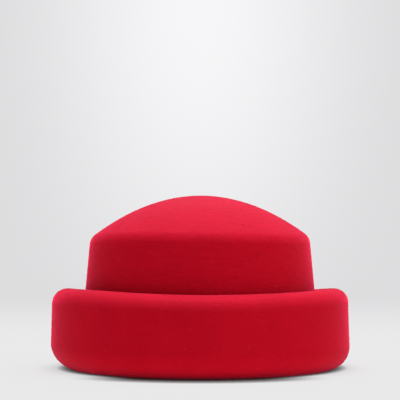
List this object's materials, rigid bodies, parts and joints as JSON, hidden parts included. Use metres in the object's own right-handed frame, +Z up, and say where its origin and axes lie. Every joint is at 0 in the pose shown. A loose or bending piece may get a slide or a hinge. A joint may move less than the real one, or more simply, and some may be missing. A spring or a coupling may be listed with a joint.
{
  "type": "cloche hat",
  "caption": "Short cloche hat of stiff red felt with a domed, sharp-edged crown and a tall turned-up brim whose top edge rolls inwards.",
  "frame": {"origin": "on the table, under the middle of the brim", "axes": "+Z up through the top of the dome, -Y towards the front of the hat, +X to the right as seen from the front"},
  "size_m": [0.2078, 0.2418, 0.1199],
  "materials": {
    "red_felt": "matte brushed wool felt"
  },
  "bodies": {
    "root": {"crown": "red_felt", "brim": "red_felt"}
  },
  "joints": []
}
